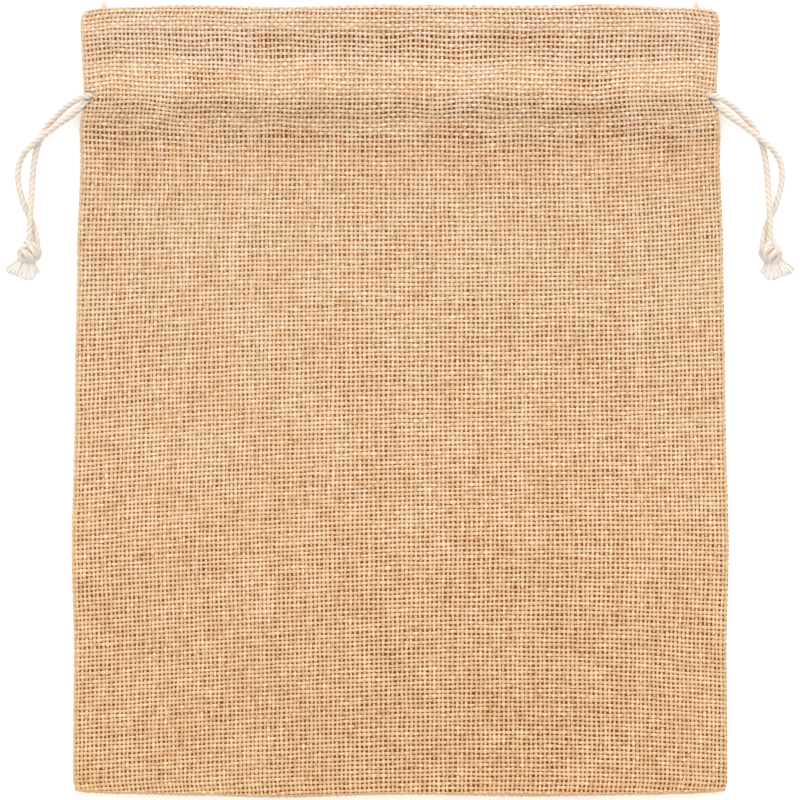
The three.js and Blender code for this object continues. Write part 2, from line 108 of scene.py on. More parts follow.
def smooth_line(points, step):
    """An even line through chosen points, by a centripetal Catmull-Rom spline."""
    points = np.array(points, float)
    ends = [2 * points[0] - points[1], *points, 2 * points[-1] - points[-2]]
    fine = []
    for a, b, c, d in zip(ends, ends[1:], ends[2:], ends[3:]):
        knots = np.cumsum([0, *(np.linalg.norm(q - p) ** 0.5 for p, q in ((a, b), (b, c), (c, d)))])
        t = np.linspace(knots[1], knots[2], SPAN_STEPS, endpoint=False)[:, None]

        def mix(p, q, i, j):
            return (knots[j] - t) / (knots[j] - knots[i]) * p + (t - knots[i]) / (knots[j] - knots[i]) * q

        ab, bc, cd = mix(a, b, 0, 1), mix(b, c, 1, 2), mix(c, d, 2, 3)
        fine.append(mix(mix(ab, bc, 0, 2), mix(bc, cd, 1, 3), 1, 2))
    fine = np.vstack([*fine, points[-1:]])
    along = np.concatenate([[0], np.cumsum(np.linalg.norm(np.diff(fine, axis=0), axis=1))])
    even = np.linspace(0, along[-1], max(2, round(along[-1] / step)))
    return np.stack([np.interp(even, along, axis) for axis in fine.T], 1)


def length_of(line):
    """How long a line of points is."""
    return np.linalg.norm(np.diff(line, axis=0), axis=1).sum()


# %% Meshes from arrays of strips
def strip_mesh(name, grid, material, closed=False, keep=None, tone=None):
    """One mesh from points[strip, station, across]. keep says which steps of which strip to make."""
    strips, stations, across = grid.shape[:3]
    columns = across if closed else across - 1
    i, j, k = np.meshgrid(*map(np.arange, (strips, stations - 1, columns)), indexing="ij")
    faces, places = [], []
    for down, right in ((0, 0), (0, 1), (1, 1), (1, 0)):
        faces.append((i * stations + j + down) * across + (k + right) % across)
        places.append(np.stack([(j + down) / (stations - 1), (i + (k + right) / columns) / strips], -1))
    faces, places = np.stack(faces, -1), np.stack(places, -2)
    if keep is not None:
        faces, places = faces[keep], places[keep]
    used, faces = np.unique(faces.reshape(-1, 4), return_inverse=True)
    mesh = bpy.data.meshes.new(name)
    mesh.from_pydata(grid.reshape(-1, 3)[used] * MM, [], faces.reshape(-1, 4))
    mesh.shade_smooth()
    uv = mesh.uv_layers.new(name="OFBake")
    uv.data.foreach_set("uv", places.ravel())
    if tone is not None:
        values = np.broadcast_to(tone, grid.shape[:3]).ravel()[used]
        mesh.attributes.new("tone", "FLOAT", "POINT").data.foreach_set("value", values.astype(np.float32))
    mesh.materials.append(material)
    piece = bpy.data.objects.new(name, mesh)
    scene.collection.objects.link(piece)
    print(f"{name}: {2 * len(mesh.polygons):,} triangles")
    return piece


# %% [markdown]
# ## Materials
# Jute and cotton are both plant fibre, spun and not polished: matte, with hardly any shine, and with the
# ordinary refraction that Blender's shader starts from. What tells them apart is colour and unevenness.
# One function makes both. The meshes give it a tone for every point, so a whole yarn can be paler or
# darker than the next, and noise adds flecks of the sizes that the real fibres give.

# %% Colours and nodes
HALF_LENGTH = 150
ROUGHNESS = 0.95
SHINE = 0.1
NOISE_DETAIL = 2
MIDDLE_VALUE = 0.5
# Single fibres are finer than a pixel, so their relief is drawn as coarse as it needs to show
FIBRE_SIZE = 0.45


def linear(colour):
    """An sRGB hex colour as linear numbers."""
    value = np.array([int(colour[i : i + 2], 16) for i in (1, 3, 5)]) / 255
    return (*np.where(value <= 0.04045, value / 12.92, ((value + 0.055) / 1.055) ** 2.4), 1)


def add(tree, kind, inputs=(), **settings):
    """A node with its settings made and its inputs set or linked."""
    node = tree.nodes.new(kind)
    for name, value in settings.items():
        setattr(node, name, value)
    for name, value in dict(inputs).items():
        if isinstance(value, bpy.types.NodeSocket):
            tree.links.new(value, node.inputs[name])
        else:
            node.inputs[name].default_value = value
    return node


def colours_along(tree, value, stops):
    """Colours placed along a value from 0 to 1."""
    node = add(tree, "ShaderNodeValToRGB", {"Fac": value})
    elements = node.color_ramp.elements
    for _ in stops[2:]:
        elements.new(MIDDLE_VALUE)
    for element, (place, colour) in zip(elements, stops):
        element.position = place
        element.color = linear(colour)
    return node.outputs["Color"]


# %% Fibre
def fibre_material(name, colours, flecks, tone, relief, tints=()):
    """A rough material whose colour follows the strips' own tone and flecks of noise.

    tone is how far a strip's own tone moves the colour. flecks are (size in mm, share) pairs. tints are two
    colours that multiply the colour, the first at the bottom of the bag and the second at its mouth."""
    material = bpy.data.materials.new(name)
    material.use_nodes = True
    tree = material.node_tree
    tree.nodes.clear()
    place = add(tree, "ShaderNodeTexCoord").outputs["Object"]

    def noise(size):
        inputs = {"Vector": place, "Scale": 1 / (size * MM), "Detail": NOISE_DETAIL}
        return add(tree, "ShaderNodeTexNoise", inputs).outputs["Fac"]

    own = add(tree, "ShaderNodeAttribute", attribute_name="tone").outputs["Fac"]
    scaled = {0: own, 1: tone, 2: MIDDLE_VALUE}
    value = add(tree, "ShaderNodeMath", scaled, operation="MULTIPLY_ADD").outputs[0]
    for size, share in flecks:
        spread = {0: noise(size), 1: share, 2: -share / 2}
        fleck = add(tree, "ShaderNodeMath", spread, operation="MULTIPLY_ADD").outputs[0]
        value = add(tree, "ShaderNodeMath", {0: fleck, 1: value}, operation="ADD").outputs[0]
    colour = colours_along(tree, value, colours)
    if tints:
        height = add(tree, "ShaderNodeSeparateXYZ", {0: place}).outputs["Y"]
        ends = {"From Min": -HALF_LENGTH * MM, "From Max": HALF_LENGTH * MM}
        share = add(tree, "ShaderNodeMapRange", {"Value": height, **ends}).outputs[0]
        tint = colours_along(tree, share, list(enumerate(tints)))
        colour = add(tree, "ShaderNodeVectorMath", {0: colour, 1: tint}, operation="MULTIPLY").outputs[0]
    raised = add(tree, "ShaderNodeBump", {"Height": noise(FIBRE_SIZE), "Distance": relief * MM})
    surface = {"Base Color": colour, "Roughness": ROUGHNESS, "Specular IOR Level": SHINE}
    surface["Normal"] = raised.outputs["Normal"]
    shader = add(tree, "ShaderNodeBsdfPrincipled", surface)
    add(tree, "ShaderNodeOutputMaterial", {"Surface": shader.outputs["BSDF"]})
    return material


# %% Jute and cotton
# Unbleached jute yarn, spun coarse: pale tan, flecked by tufts of fibre 0.7 mm long and by slow patches
# where the fibre was paler or darker. The bag is a little warmer at its bottom and greyer at its mouth.
YARN_COLOURS = (0.0, "#d09c6d"), (0.5, "#e7c59c"), (1.0, "#f7e2c8")
YARN_FLECKS = (0.7, 0.6), (5, 0.2), (16, 0.3)
YARN_TINTS = "#fffdf8", "#f3f0f3"
YARN_TONE = 0.5
# The same jute deep in the weave, as it looks in the shade inside the bag: painted shade, brown and more
# orange
GROUND_SHADE_COLOURS = (0.1, "#80421a"), (0.55, "#aa6b38"), (0.95, "#cc9c6e")
GROUND_FLECKS = (1.4, 2.0), (18, 0.5)
GROUND_TONE = 1.0
JUTE_RELIEF = 0.12
# Natural cotton cord, twisted and soft: cream, with painted shade in the grooves between its plies
COTTON_COLOURS = (0.0, "#d2c1ae"), (0.5, "#dfd6cd"), (1.0, "#f8f3ec")
COTTON_FLECKS = (0.5, 0.5), (3, 0.4)
COTTON_TONE = 0.5
COTTON_RELIEF = 0.05

yarn_jute = fibre_material("jute_yarn", YARN_COLOURS, YARN_FLECKS, YARN_TONE, JUTE_RELIEF, YARN_TINTS)
jute_shade = fibre_material("jute_painted_shade", GROUND_SHADE_COLOURS, GROUND_FLECKS, GROUND_TONE, JUTE_RELIEF)
cotton = fibre_material("cotton", COTTON_COLOURS, COTTON_FLECKS, COTTON_TONE, COTTON_RELIEF)
for material in (yarn_jute, jute_shade, cotton):
    print(f"{material.name}: {len(material.node_tree.nodes)} nodes")

# %% [markdown]
# ## Cords
# Each cord's two ends leave the casing through the slit at its side, cross, and lie down to the knot.
# A rope could be three tubes wound round each other. One tube with three ridges that turn as it goes looks
# the same from outside and has a third of the faces. The ridges turn once in 7.5 mm, as the photo shows.
# The photo's right side is its left side mirrored, and so is the way that the plies turn.

# %% Cord routes
SIDES = {"left": -1, "right": 1}
CASING_Y = {"left": 119.5, "right": 114.5}
# Where the hidden run in the casing ends, and how far the cord goes straight on from there
RUN_END = 109.3
STRAIGHT_TO = 111

UPPER_END = table(
    "out y z",
    (118.2, 117.4, 7.7),
    (122.3, 116.4, 7.2),
    (127.3, 113.7, 5.1),
    (131.3, 110.4, 3.1),
    (135.7, 106.0, 1.7),
    (138.2, 102.0, 1.22),
    (139.7, 97.8, 1.22),
    (140.8, 92.8, 1.22),
    (141.4, 88.0, 1.22),
    (141.8, 83.0, 1.4),
    (142.0, 78.0, 2.5),
    (142.2, 74.0, 3.7),
    (142.5, 69.5, 4.05),
    (142.6, 64.5, 4.0),
    (142.6, 60.2, 3.9),
)
LOWER_END = table(
    "out y z",
    (119.8, 114.7, 6.1),
    (122.9, 112.4, 6.3),
    (127.8, 108.6, 5.1),
    (131.8, 106.0, 4.1),
    (135.6, 103.2, 4.0),
    (139.1, 100.6, 4.0),
    (142.2, 97.8, 3.4),
    (145.0, 94.8, 2.1),
    (146.8, 91.0, 1.3),
    (147.3, 87.0, 1.22),
    (147.0, 82.8, 1.22),
    (145.9, 78.4, 1.22),
    (144.5, 74.0, 1.22),
    (142.4, 70.0, 1.22),
    (140.7, 65.5, 1.5),
    (139.9, 61.8, 2.2),
    (139.6, 58.6, 2.6),
)
# Each end: its route, its height in the casing, and where it bends towards the slit
CORD_ENDS = {
    "upper": (UPPER_END, 8.4, (113.8, 0.4, 7.0)),
    "lower": (LOWER_END, 2.7, (114.6, 0.5, 3.6)),
}


def cord_points(name, end):
    """The points that a cord's free end takes, from its run in the casing to the knot."""
    side, y = SIDES[name], CASING_Y[name]
    route, level, (bend_out, bend_share, bend_z) = CORD_ENDS[end]
    bend_y = y + (route["y"][0] - y) * bend_share
    start = [(RUN_END, y, level), (STRAIGHT_TO, y, level), (bend_out, bend_y, bend_z)]
    return np.array([*start, *zip(route["out"], route["y"], route["z"])]) * (side, 1, 1)


for end in CORD_ENDS:
    print(f"the {end} ends go through {len(cord_points('left', end))} chosen points")

# %% Rope
ROPE_RADIUS = 1.25
ROPE_LAY = 7.5
ROPE_SIDES = 24
PLIES = 3
GROOVE_DEPTH = 0.2
# A direction that no cord takes
ASIDE = (0.1, 0.2, 1)


def cross_axes(line):
    """Two axes across a line at each of its points, turned as little as possible along it."""
    heading = unit(np.gradient(line, axis=0))
    first = unit(np.cross(heading[0], ASIDE))
    axes = []
    for direction in heading:
        first = unit(first - direction * (first @ direction))
        axes.append(first)
    axes = np.array(axes)
    return axes, np.cross(heading, axes)


def rope(line, radius, lay, turn, sides=ROPE_SIDES):
    """A rope along a line: points[station, round], and -1 in its grooves to 0 on its ridges."""
    along = np.concatenate([[0], np.cumsum(np.linalg.norm(np.diff(line, axis=0), axis=1))])
    across, up = cross_axes(line)
    place = 2 * np.pi * np.arange(sides) / sides
    groove = np.abs(np.cos(PLIES / 2 * place)) - 1
    reach = np.broadcast_to(radius, len(line))[:, None] * (1 + GROOVE_DEPTH * groove)
    angle = place + 2 * np.pi * turn * along[:, None] / lay
    outward = np.cos(angle)[..., None] * across[:, None] + np.sin(angle)[..., None] * up[:, None]
    return line[:, None] + reach[..., None] * outward, np.broadcast_to(groove, reach.shape)


# %% Cords
CORD_STEP = 0.35
TABLE_GAP = 0.02
# The cords fill the slit, a little thicker there, and just inside it their colour is darkened as painted
# shade
SLIT_OUT = 118
SLIT_SWELL = 0.2
SLIT_REACH = 4
SHADE_OUT = 116
SHADE_REACH = 2.5
SHADE_TONE = -0.7

cord_pieces = {}
for name, side in SIDES.items():
    for end in CORD_ENDS:
        line = smooth_line(cord_points(name, end), CORD_STEP)
        squeezed = np.exp(-(((np.abs(line[:, 0]) - SLIT_OUT) / SLIT_REACH) ** 2))
        tube, groove = rope(line, ROPE_RADIUS * (1 + SLIT_SWELL * squeezed), ROPE_LAY, -side)
        tube[..., 2] = np.maximum(tube[..., 2], TABLE_GAP)
        outside = np.maximum(np.abs(tube[..., 0]) - SHADE_OUT, 0)
        tone = groove + SHADE_TONE * np.exp(-((outside / SHADE_REACH) ** 2))
        piece = strip_mesh(f"cord_{name}_{end}", tube[None], cotton, closed=True, tone=tone[None])
        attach(piece, "root")
        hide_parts(f"cord_{name}_{end}_end")
        cord_pieces[name, end] = piece, line
        print(f"  {length_of(line):.1f} mm long")
    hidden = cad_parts[f"cord_{name}_in_casing"]
    hidden.data.materials.clear()
    hidden.data.materials.append(cotton)

# %% [markdown]
# ## Knots and tassels
# The two ends are tied together in an overhand knot. From above, four fat turns of it show, each a cord lying
# over the next. A knot simulated from a straight cord would not land in the photo's shape, so the turns are
# bent one by one, round a core that closes the gaps.
# Below the knot the plies are combed out: fine strands in locks that fan out over the table. Hair
# particles could do that, but strands made here stay plain mesh and lie the same in every run.

# %% Turns of a knot
KNOT_MIDDLE = np.array([142.7, 56.9, 0.0])
# The turns as seen at the left of the photo, from the knot's middle
TURNS = [
    [
        (-1.6, 4.2, 3.0),
        (0.2, 3.2, 4.2),
        (2.1, 2.0, 4.5),
        (3.5, 0.4, 3.4),
        (3.0, -1.6, 2.2),
        (1.5, -2.6, 1.6),
    ],
    [
        (-0.4, 2.6, 3.6),
        (-2.4, 1.8, 4.1),
        (-3.5, 0.0, 3.3),
        (-3.0, -2.0, 2.6),
        (-1.2, -3.0, 2.1),
        (0.8, -2.9, 1.7),
    ],
    [(-3.4, 1.0, 3.5), (-2.2, 0.4, 4.4), (-0.8, -0.7, 5.0), (0.5, -1.9, 4.4), (1.0, -2.8, 3.0)],
    [(-0.2, 2.1, 4.2), (1.3, 0.9, 4.9), (2.2, -0.5, 4.5), (2.0, -1.9, 3.1), (1.3, -2.6, 2.0)],
]
TURN_RADIUS = 1.3
TURN_LAY = 2 * ROPE_LAY
TURN_STEP = 0.3
CORE = (3.2, 2.8, 2.2)
# The core between the turns is darker: painted shade in the gaps of the knot
CORE_SHADE = -0.7
CORE_LEVEL = 2.6
KNOT_STATIONS = 40
KNOT_SIDES = 18


def knot_strips(side):
    """The knot's turns and its core, with how deep each point lies in a groove."""
    shares = np.linspace(0, 1, KNOT_STATIONS)
    strips, grooves = [], []
    for turn in TURNS:
        line = smooth_line((np.array(turn) * (-1, 1, 1) + KNOT_MIDDLE) * (side, 1, 1), TURN_STEP)
        even = np.stack([np.interp(shares, np.linspace(0, 1, len(line)), v) for v in line.T], 1)
        tube, groove = rope(even, TURN_RADIUS, TURN_LAY, -side, KNOT_SIDES)
        strips.append(tube)
        grooves.append(groove)
    angles = 2 * np.pi * np.arange(KNOT_SIDES) / KNOT_SIDES
    rise, angle = np.meshgrid(np.pi * (shares - 0.5), angles, indexing="ij")
    ball = np.stack([np.cos(angle) * np.cos(rise), np.sin(angle) * np.cos(rise), np.sin(rise)], -1) * CORE
    strips.append((ball + KNOT_MIDDLE + (0, 0, CORE_LEVEL)) * (side, 1, 1))
    grooves.append(np.full_like(rise, CORE_SHADE))
    return np.array(strips), np.array(grooves)


print(f"{len(TURNS)} turns and a core make a knot")

# %% Strands of a tassel
# From the fan's outer edge to its inner one: where the strands start in the knot and where they end
FAN = table(
    "share root tip tip_y",
    (0.0, 146.7, 152.8, 50.4),
    (0.12, 146.1, 151.6, 48.5),
    (0.25, 145.3, 148.8, 47.1),
    (0.5, 144.0, 145.0, 46.0),
    (0.75, 142.6, 141.8, 46.2),
    (1.0, 141.3, 138.6, 49.0),
)
ROOT_Y = 55.0
LOCKS = 12
LOCK_SHIFT = 0.12
LOCK_BEND = 0.3
LOCK_REACH = (0.9, 1.02)
LOCK_SPREAD = 0.45
STRANDS = 40
STRAND = table("share radius", (0, 0.16), (0.5, 0.2), (1, 0.12))
STRAND_SIDES = 4
STRAND_STATIONS = 9
STRAND_REACH = (0.88, 1.0)
STRAND_WAVE = 0.08
STRAND_TONE = 0.75
STRAND_TONE_SPREAD = 0.4
# A strand's layer in the fan, and how it comes down from the knot to lie in that layer
LAYERS = (0.2, 1.9)
LOWEST_LAYER = 0.2
LAYER_SHARE = 0.45
ROOT_RISE = 0.6
DOWN_BY = 0.55
DOWN_CURVE = 1.5


def strand_line(random, middle, bend, lock_reach, side):
    """The line of one strand, from inside the knot down to the table and out along it."""
    shares = np.linspace(0, 1, STRAND_STATIONS)
    share = np.clip(middle + random.normal(0, LOCK_SPREAD) / LOCKS, 0, 1)
    root, tip, tip_y = (read(FAN, "share", column, share) for column in ("root", "tip", "tip_y"))
    reach = lock_reach * random.uniform(*STRAND_REACH) * shares
    layer = random.uniform(*LAYERS)
    wave = random.normal(0, STRAND_WAVE, len(shares))
    x = root + (tip - root) * reach + bend * np.sin(np.pi * shares) + wave
    y = ROOT_Y + (tip_y - ROOT_Y) * reach
    rest = LOWEST_LAYER + layer * LAYER_SHARE
    z = rest + (layer + ROOT_RISE - rest) * np.clip(1 - shares / DOWN_BY, 0, 1) ** DOWN_CURVE
    return np.stack([x * side, y, z], 1)


def tassel_strips(side, random):
    """Fine strands in locks, with a tone for each."""
    strips, tones = [], []
    radius = read(STRAND, "share", "radius", np.linspace(0, 1, STRAND_STATIONS))[:, None, None]
    angle = 2 * np.pi * np.arange(STRAND_SIDES) / STRAND_SIDES
    for lock in range(LOCKS):
        middle = (lock + 0.5 + random.normal(0, LOCK_SHIFT)) / LOCKS
        bend = random.normal(0, LOCK_BEND)
        lock_reach = random.uniform(*LOCK_REACH)
        for _ in range(STRANDS):
            line = strand_line(random, middle, bend, lock_reach, side)
            across, up = cross_axes(line)
            ring = np.cos(angle)[:, None] * across[:, None] + np.sin(angle)[:, None] * up[:, None]
            strips.append(line[:, None] + radius * ring)
            tones.append(STRAND_TONE + random.normal(0, STRAND_TONE_SPREAD))
    strips = np.array(strips)
    strips[..., 2] = np.maximum(strips[..., 2], TABLE_GAP)
    return strips, np.array(tones)[:, None, None]


# %% Knots, tassels and cords
TASSEL_SEED = 5

for name, side in SIDES.items():
    strips, tone = knot_strips(side)
    knot = strip_mesh(f"knot_{name}_turns", strips, cotton, closed=True, tone=tone)
    strips, tone = tassel_strips(side, np.random.default_rng(TASSEL_SEED))
    tassel = strip_mesh(f"tassel_{name}", strips, cotton, closed=True, tone=tone)
    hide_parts(f"knot_{name}")
    for piece in (knot, tassel):
        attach(piece, "root")
    for end in CORD_ENDS:
        piece, line = cord_pieces[name, end]

# %% [markdown]
# ## Where the cloth lies
# The yarns need to know where each point of the flat cloth lies on the bag. A cloth simulation would find
# its own folds, and the photo's are wanted, so the shape is written down.
# Across, the cloth is flat and then rolls down over the side to the seam. Along, it rolls up from the bottom
# seam, runs over the body and the casing's swell to the mouth, folds in and goes down inside as the hem.
# The same tables of outline, heights and swells as in the CAD say how high it lies, and the front bows up
# in the middle, as the cloth of an empty bag that isn't pressed does.

# %% The bag's outline
MOUTH_HALF = 122.8
BOTTOM_HALF = 125.1
HALF_WIDTH = table(
    "y half",
    (-151, 125.1),
    (-146, 126.0),
    (-96, 125.7),
    (-58, 126.5),
    (0, 125.3),
    (58, 124.4),
    (92, 123.2),
    (104, 123.4),
    (118, 121.8),
    (130, 122.5),
    (146, 123.2),
    (150, 122.0),
)
TOP_EDGE = table(
    "x y",
    (-123.4, 147.6),
    (-122.5, 149.4),
    (-121.3, 150.4),
    (-117.5, 151.1),
    (-112, 151.4),
    (-85, 152.1),
    (-46, 151.3),
    (0, 152.1),
    (48, 151.7),
    (77, 152.5),
    (108, 151.3),
    (118, 151.3),
    (121, 150.8),
    (122.5, 149.8),
    (123.4, 148.2),
)
BOTTOM_EDGE = table(
    "x y",
    (-126, -150.6),
    (-120, -151.4),
    (-108, -151.8),
    (-77, -152.5),
    (-46, -153.2),
    (0, -152.1),
    (52, -152.8),
    (96, -152.2),
    (108, -151.8),
    (120, -151.3),
    (126, -150.7),
)
width, height = 2 * HALF_WIDTH["half"].max(), TOP_EDGE["y"].max() - BOTTOM_EDGE["y"].min()
print(f"the bag is {width:.0f} mm wide and {height:.0f} mm long")

# %% How high the front lies
HEM_HALF = 110.0
SIDE_DROP = 0.5
FRONT_HEIGHT = table(
    "y z",
    (-153, 7.2),
    (-120, 7.8),
    (-40, 8.4),
    (40, 8.6),
    (82, 8.8),
    (96, 8.7),
    (117, 12.3),
    (132, 8.8),
    (142, 9.4),
    (149, 9.0),
    (152, 8.8),
)
SWELLS = table(
    "x y rise reach_x reach_y",
    (-75, 118, -0.45, 10, 9),
    (73, 119, -0.45, 12, 9),
    (-102, 123, 0.35, 11, 7),
    (38, 122, 0.3, 26, 8),
    (-33, 138, -0.3, 24, 5),
    (42, 138, -0.3, 14, 5),
    (-28, 101, -0.2, 16, 8),
    (92, 98, -0.25, 20, 9),
    (-8, 62, 0.4, 50, 34),
    (-110, -96, -0.4, 14, 18),
    (110, -96, -0.4, 14, 18),
    (16, -6, -0.3, 20, 26),
    (-122, 115.5, -3.2, 6.5, 9),
    (122, 115.5, -3.2, 6.5, 9),
)
# Soft creases that are too small for the CAD's sheet
CREASES = table(
    "x y rise reach_x reach_y",
    (-79, 108, -0.8, 9, 4),
    (79, 108, -0.8, 9, 4),
    (-46, 107, -0.6, 20, 2.6),
    (-6, 107.5, -0.5, 22, 2.6),
    (42, 107, -0.6, 20, 2.6),
    (-58, 141, -0.4, 16, 3),
    (-10, 139, -0.4, 18, 3),
    (60, 140, -0.4, 16, 3),
)
BOW = table("out rise", (40, 4.2), (108, 0))
BOW_LENGTH = table("y share", (-150, 0), (-70, 1))


def bow(x, y):
    """How far the front bows up between its sides."""
    return read(BOW, "out", "rise", np.abs(x)) * read(BOW_LENGTH, "y", "share", y)


def soft_spot(x, y, middle_x, middle_y, reach_x, reach_y):
    """1 at the middle of a spot, and fading to 0 past its reach."""
    return np.exp(-(((x - middle_x) / reach_x) ** 2) - ((y - middle_y) / reach_y) ** 2)


def front_face(x, y):
    """Height of the front away from its rolled edges."""
    z = read(FRONT_HEIGHT, "y", "z", y) + bow(x, y) - SIDE_DROP * (x / HEM_HALF) ** 2
    for form in (SWELLS, CREASES):
        for middle_x, middle_y, rise, reach_x, reach_y in zip(*form.values()):
            z = z + rise * soft_spot(x, y, middle_x, middle_y, reach_x, reach_y)
    return z


def back_face(x, y):
    """Height of the back, which lies flat on the table."""
    return np.zeros_like(x)


# %% The cloth on the bag
EDGE_ROLL = 1.1
ROLL_LENGTH = 4.6
FLAT_HALF = 123.9
FOLD = 1.4
NORMAL_STEP = 0.05
# Keeps a normal from having no length beyond the edges of the cloth
BARELY_UP = (0, 0, 1e-9)


class Panel:
    """One panel. Its points are given by across and along, lengths of cloth from the middle of the bag."""

    def __init__(self, face, seam, outward):
        self.face, self.seam, self.outward = face, seam, outward

    def side(self, across, half):
        """How far to the side a point lies, where the bag is this wide, and how far it is from the seam."""
        over = np.clip((np.abs(across) - FLAT_HALF) / ROLL_LENGTH, 0, 1) * np.pi / 2
        flat = np.minimum(np.abs(across) / FLAT_HALF, 1) * (half - EDGE_ROLL)
        return np.sign(across) * (flat + EDGE_ROLL * np.sin(over)), np.cos(over)

    def rolled(self, across):
        """Where the roll at the bottom ends and the flat cloth starts."""
        return read(BOTTOM_EDGE, "x", "y", self.side(across, BOTTOM_HALF)[0]) + EDGE_ROLL

    def bottom(self, across):
        """Where the panel starts, at the bottom seam."""
        return self.rolled(across) - ROLL_LENGTH

    def mouth(self, across):
        """Where the fold at the mouth starts."""
        return read(TOP_EDGE, "x", "y", self.side(across, MOUTH_HALF)[0]) - FOLD

    def lay(self, across, along):
        """The outer face's points, in mm."""
        low = self.rolled(across)
        under = np.clip((low - along) / ROLL_LENGTH, 0, 1) * np.pi / 2
        high = self.mouth(across)
        turn = np.clip((along - high) / FOLD, 0, np.pi)
        inside = np.maximum(along - high - np.pi * FOLD, 0)
        y = np.where(along < low, low - EDGE_ROLL * np.sin(under), np.minimum(along, high))
        y = y + FOLD * np.sin(turn) - inside
        x, over = self.side(across, read(HALF_WIDTH, "y", "half", y))
        share = np.cos(under) * over
        z = self.seam(y) + (self.face(x, y) - self.seam(y)) * share
        z = z - self.outward * FOLD * (1 - np.cos(turn)) * share
        return np.stack([x, y, z], -1)

    def normal(self, across, along):
        """Which way is out of the cloth."""
        side = self.lay(across + NORMAL_STEP, along) - self.lay(across - NORMAL_STEP, along)
        up = self.lay(across, along + NORMAL_STEP) - self.lay(across, along - NORMAL_STEP)
        return self.outward * unit(np.cross(side, up) + BARELY_UP)


# %% Front and back
FRONT_SEAM = 4.15
BACK_SEAM = 3.85
# Under the slits the back's edge is drawn down, which lets the lower ends of the cords out
SEAM_DROP = 2.0
SEAM_DROP_Y = 112
SEAM_DROP_REACH = 6
CASING_MIDDLE = 117.0


def front_seam(y):
    """Height of the front's edge at the seams."""
    return FRONT_SEAM


def back_seam(y):
    """Height of the back's edge at the seams."""
    return BACK_SEAM - SEAM_DROP * np.exp(-(((y - SEAM_DROP_Y) / SEAM_DROP_REACH) ** 2))


front = Panel(front_face, front_seam, 1)
back = Panel(back_face, back_seam, -1)
crest = front.lay(np.zeros(1), np.array([CASING_MIDDLE]))[0]
print(f"the front is {crest[2]:.1f} mm high at the middle of the casing")

# %% [markdown]
# ## Weave
# Ordinary hessian has a yarn every 1.6 to 1.9 mm, and this one was measured in the photo.
# The rows aren't straight: they climb at the left, lie level in the middle and sag at the lower right. In
# the header they dip at the sides, where the cords draw them down at the slits, and ripple, because the
# cloth has been gathered and let out again. Yarn is spun unevenly, so each one wanders a little and has
# thick and thin places. An array of copies of one crossing would be quicker, and would look printed.

# %% Yarn spacing
WARP_PITCH = table("across pitch", (-40, 1.6), (-10, 1.76), (80, 1.76), (96, 1.62))
WEFT_PITCH = table(
    "along pitch",
    (76, 1.78),
    (84, 1.84),
    (99, 1.86),
    (102.5, 1.84),
    (106, 1.7),
    (110, 1.86),
    (124, 1.86),
    (127, 1.66),
    (131, 1.84),
    (138, 1.92),
    (143, 1.76),
)
SPACING_JITTER = 0.045
LARGEST_JITTER = 0.1


def yarn_places(pitches, key, start, end, random):
    """Yarns from start to end, unevenly spaced."""
    places = [start]
    while places[-1] < end:
        uneven = np.clip(random.normal(0, SPACING_JITTER), -LARGEST_JITTER, LARGEST_JITTER)
        places.append(places[-1] + read(pitches, key, "pitch", places[-1]) * (1 + uneven))
    return np.array(places)


# %% Rows that climb
# How steeply the rows climb, in degrees, at these places across the bag
TILT_X = (-105, -84, -74, 0, 74, 84, 105)
TILT = table(
    "along far_left left inner_left middle inner_right right far_right",
    (-140, 3.5, 3.3, 3.1, 1.5, -1.1, -1.5, -2.5),
    (-95, 4.0, 3.8, 3.6, 2.0, -1.2, -2.1, -4.0),
    (-40, 4.6, 3.8, 3.2, 1.5, 0.5, 0.5, 0.5),
    (20, 4.0, 3.4, 2.8, 0.5, 1.0, 1.6, 2.5),
    (70, 0.6, 0.4, 0.8, 0.0, 0.8, 2.4, 5.0),
    (106, -2.4, -3.4, -0.6, 0.0, 0.0, 4.0, 3.2),
    (125, -2.0, -3.0, -0.6, 0.0, 0.0, 3.2, 1.6),
    (138, -0.4, -2.0, -0.6, -0.5, 0.5, 2.0, 0.0),
    (147, 0.5, -1.0, -0.5, 0.0, 0.0, 1.0, -0.5),
)
CLIMB_HALF = 131


def climb(across, along):
    """How far a weft row has climbed at this place, from the tilts of the rows."""
    grid = np.arange(-CLIMB_HALF, CLIMB_HALF + 1.0)
    tilts = np.array([np.interp(grid, TILT_X, row[1:]) for row in zip(*TILT.values())])
    heights = np.cumsum(np.tan(np.radians(tilts)), axis=1)
    heights -= heights[:, len(grid) // 2, None]
    at_rows = np.array([np.interp(across, grid, row) for row in heights])
    weight = np.interp(along, TILT["along"], np.arange(len(heights)))
    low = np.clip(weight.astype(int), 0, len(heights) - 2)
    share = weight - low
    take = np.take_along_axis
    return take(at_rows, low[None], 0)[0] * (1 - share) + take(at_rows, low[None] + 1, 0)[0] * share


left_edge = climb(np.array([-FLAT_HALF]), np.zeros(1))[0]
print(f"the row through the middle of the bag is {left_edge:.1f} mm off level at its left end")

# %% Rows that sag and ripple
SAG_OUT = 111
SAG_REACH = 12
SAG_CURVE = 1.5
SAG_ROW = 112
SAG_ROWS = 10
SAG = 1.3
SLIT_SAG = 0.6
SLIT_SAG_ROW = 121.5
SLIT_SAG_ROWS = 4.5
RIPPLE = table("along size", (90, 0), (104, 0.22), (135, 0.22), (150, 0.08))
RIPPLE_STEP = 8
RIPPLE_WAVES = (24, 90)
WAVES = 4


def edge_sag(across, along):
    """How far the rows sag at the sides of the header, most of all above a slit."""
    beside = np.clip((np.abs(across) - SAG_OUT) / SAG_REACH, 0, 1) ** SAG_CURVE
    header = np.clip((along - SAG_ROW) / SAG_ROWS, 0, 1)
    return -beside * header * (SAG + SLIT_SAG * np.exp(-(((along - SLIT_SAG_ROW) / SLIT_SAG_ROWS) ** 2)))


